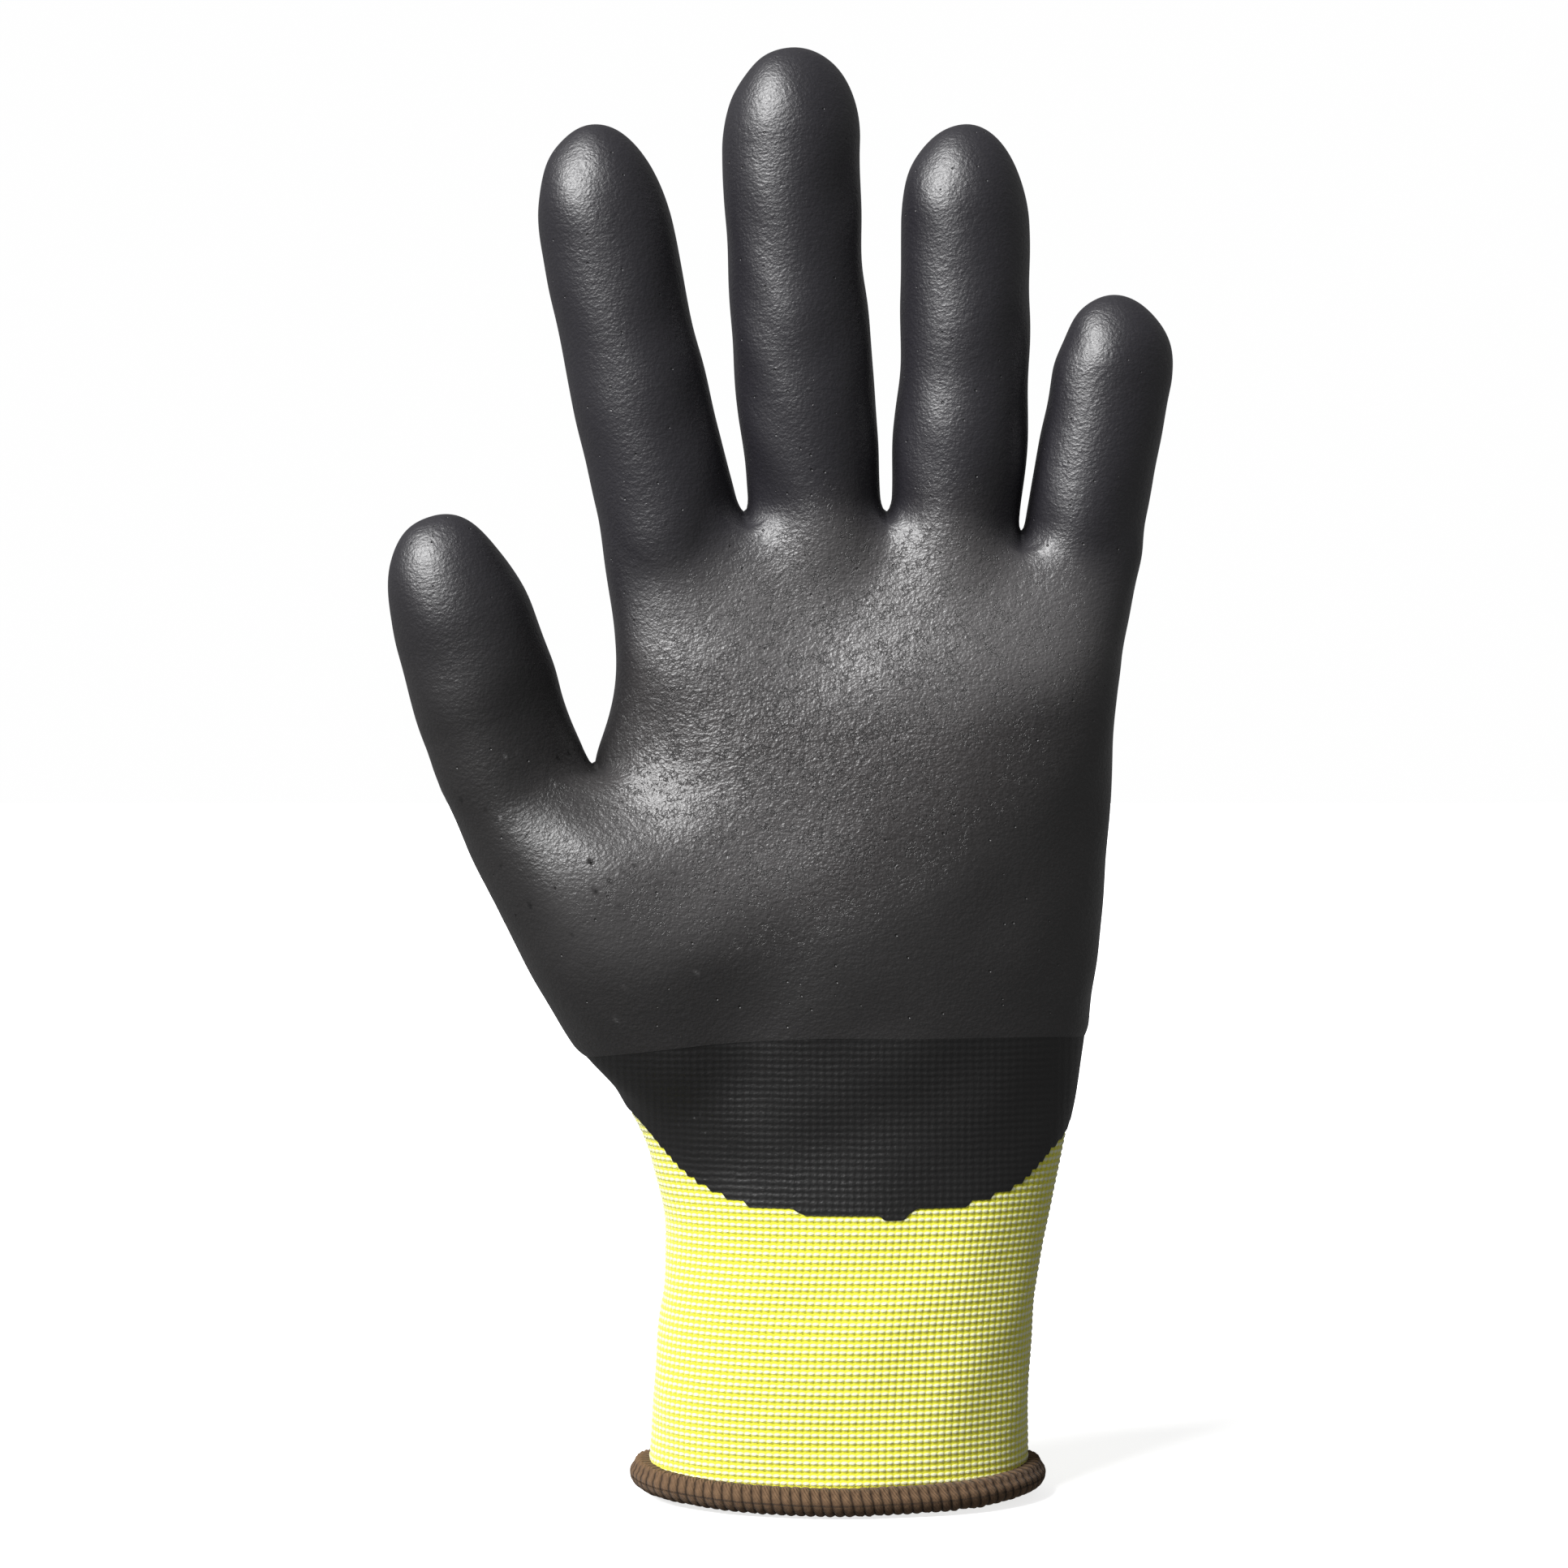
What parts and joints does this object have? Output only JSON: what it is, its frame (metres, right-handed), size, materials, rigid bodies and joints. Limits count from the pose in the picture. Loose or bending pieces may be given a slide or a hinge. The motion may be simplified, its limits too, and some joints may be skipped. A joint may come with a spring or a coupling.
{
  "type": "dipped work glove",
  "caption": "Left-hand dipped safety glove: knitted liner, two dipped coats, overlocked hem; wrist, knuckles, fingers and thumb bend.",
  "frame": {"origin": "middle of the glove's bounding box, on the plane that the hem stands on", "axes": "+Z from the hem to the fingertips, palm towards -Y, back of the hand towards +Y, thumb towards -X"},
  "size_m": [0.1352, 0.0442, 0.25],
  "materials": {
    "liner_knit": "matte",
    "base_coat": "satin",
    "foam_coat": "matte",
    "hem_thread": "matte",
    "elastic_thread": "matte"
  },
  "bodies": {
    "cuff": {"cuff_knit": "liner_knit", "cuff_elastic": "elastic_thread", "hem_overlock": "hem_thread", "wrist_knit": "liner_knit", "wrist_base_coat": "base_coat"},
    "palm": {"palm_knit": "liner_knit", "palm_base_coat": "base_coat", "palm_foam_coat": "foam_coat", "knuckle_knit": "liner_knit", "knuckle_coat": "foam_coat", "thumb_base_knit": "liner_knit", "thumb_base_coat": "foam_coat"},
    "knuckles": {"index_root_knit": "liner_knit", "index_root_coat": "foam_coat", "index_lower_joint_knit": "liner_knit", "index_lower_joint_coat": "foam_coat", "middle_root_knit": "liner_knit", "middle_root_coat": "foam_coat", "middle_lower_joint_knit": "liner_knit", "middle_lower_joint_coat": "foam_coat", "ring_root_knit": "liner_knit", "ring_root_coat": "foam_coat", "ring_lower_joint_knit": "liner_knit", "ring_lower_joint_coat": "foam_coat", "little_root_knit": "liner_knit", "little_root_coat": "foam_coat", "little_lower_joint_knit": "liner_knit", "little_lower_joint_coat": "foam_coat"},
    "thumb_root": {"thumb_root_knit": "liner_knit", "thumb_root_coat": "foam_coat", "thumb_joint_knit": "liner_knit", "thumb_joint_coat": "foam_coat"},
    "thumb_tip": {"thumb_tip_knit": "liner_knit", "thumb_tip_coat": "foam_coat"},
    "index_middle": {"index_middle_knit": "liner_knit", "index_middle_coat": "foam_coat", "index_upper_joint_knit": "liner_knit", "index_upper_joint_coat": "foam_coat"},
    "index_tip": {"index_tip_knit": "liner_knit", "index_tip_coat": "foam_coat"},
    "middle_middle": {"middle_middle_knit": "liner_knit", "middle_middle_coat": "foam_coat", "middle_upper_joint_knit": "liner_knit", "middle_upper_joint_coat": "foam_coat"},
    "middle_tip": {"middle_tip_knit": "liner_knit", "middle_tip_coat": "foam_coat"},
    "ring_middle": {"ring_middle_knit": "liner_knit", "ring_middle_coat": "foam_coat", "ring_upper_joint_knit": "liner_knit", "ring_upper_joint_coat": "foam_coat"},
    "ring_tip": {"ring_tip_knit": "liner_knit", "ring_tip_coat": "foam_coat"},
    "little_middle": {"little_middle_knit": "liner_knit", "little_middle_coat": "foam_coat", "little_upper_joint_knit": "liner_knit", "little_upper_joint_coat": "foam_coat"},
    "little_tip": {"little_tip_knit": "liner_knit", "little_tip_coat": "foam_coat"}
  },
  "joints": [
    {"name": "wrist_fold", "type": "hinge", "parent": "cuff", "child": "palm", "pos_m": [0.0135, 0, 0.047], "axis": [1, 0, 0], "range_deg": [-50, 60], "stiffness_Nm_per_rad": 0.5, "deforming": ["wrist_knit", "wrist_base_coat"]},
    {"name": "knuckle_fold", "type": "hinge", "parent": "palm", "child": "knuckles", "pos_m": [0.0155, -0.004, 0.148], "axis": [1, 0, 0], "range_deg": [-15, 75], "stiffness_Nm_per_rad": 0.2, "deforming": ["knuckle_knit", "knuckle_coat"]},
    {"name": "index_lower_joint", "type": "hinge", "parent": "knuckles", "child": "index_middle", "pos_m": [-0.02322, -0.004, 0.18795], "axis": [1, 0, 0], "range_deg": [0, 90], "stiffness_Nm_per_rad": 0.03, "deforming": ["index_lower_joint_knit", "index_lower_joint_coat"]},
    {"name": "index_upper_joint", "type": "hinge", "parent": "index_middle", "child": "index_tip", "pos_m": [-0.02843, -0.004, 0.21291], "axis": [1, 0, 0], "range_deg": [0, 50], "stiffness_Nm_per_rad": 0.02, "deforming": ["index_upper_joint_knit", "index_upper_joint_coat"]},
    {"name": "middle_lower_joint", "type": "hinge", "parent": "knuckles", "child": "middle_middle", "pos_m": [0.00472, -0.004, 0.19794], "axis": [1, 0, 0], "range_deg": [0, 90], "stiffness_Nm_per_rad": 0.03, "deforming": ["middle_lower_joint_knit", "middle_lower_joint_coat"]},
    {"name": "middle_upper_joint", "type": "hinge", "parent": "middle_middle", "child": "middle_tip", "pos_m": [0.00312, -0.004, 0.2259], "axis": [1, 0, 0], "range_deg": [0, 50], "stiffness_Nm_per_rad": 0.02, "deforming": ["middle_upper_joint_knit", "middle_upper_joint_coat"]},
    {"name": "ring_lower_joint", "type": "hinge", "parent": "knuckles", "child": "ring_middle", "pos_m": [0.03127, -0.004, 0.18799], "axis": [1, 0, 0], "range_deg": [0, 90], "stiffness_Nm_per_rad": 0.03, "deforming": ["ring_lower_joint_knit", "ring_lower_joint_coat"]},
    {"name": "ring_upper_joint", "type": "hinge", "parent": "ring_middle", "child": "ring_tip", "pos_m": [0.03204, -0.004, 0.21348], "axis": [1, 0, 0], "range_deg": [0, 50], "stiffness_Nm_per_rad": 0.02, "deforming": ["ring_upper_joint_knit", "ring_upper_joint_coat"]},
    {"name": "little_lower_joint", "type": "hinge", "parent": "knuckles", "child": "little_middle", "pos_m": [0.05417, -0.004, 0.17483], "axis": [1, 0, 0], "range_deg": [0, 90], "stiffness_Nm_per_rad": 0.03, "deforming": ["little_lower_joint_knit", "little_lower_joint_coat"]},
    {"name": "little_upper_joint", "type": "hinge", "parent": "little_middle", "child": "little_tip", "pos_m": [0.05679, -0.004, 0.19041], "axis": [1, 0, 0], "range_deg": [0, 50], "stiffness_Nm_per_rad": 0.02, "deforming": ["little_upper_joint_knit", "little_upper_joint_coat"]},
    {"name": "thumb_base_fold", "type": "hinge", "parent": "palm", "child": "thumb_root", "pos_m": [-0.04473, -0.008, 0.1225], "axis": [0.766, 0, 0.6428], "range_deg": [-10, 35], "stiffness_Nm_per_rad": 0.06, "deforming": ["thumb_base_knit", "thumb_base_coat"]},
    {"name": "thumb_joint", "type": "hinge", "parent": "thumb_root", "child": "thumb_tip", "pos_m": [-0.05092, -0.00924, 0.14312], "axis": [0.9135, 0.258, 0.3146], "range_deg": [0, 70], "stiffness_Nm_per_rad": 0.03, "deforming": ["thumb_joint_knit", "thumb_joint_coat"]}
  ]
}
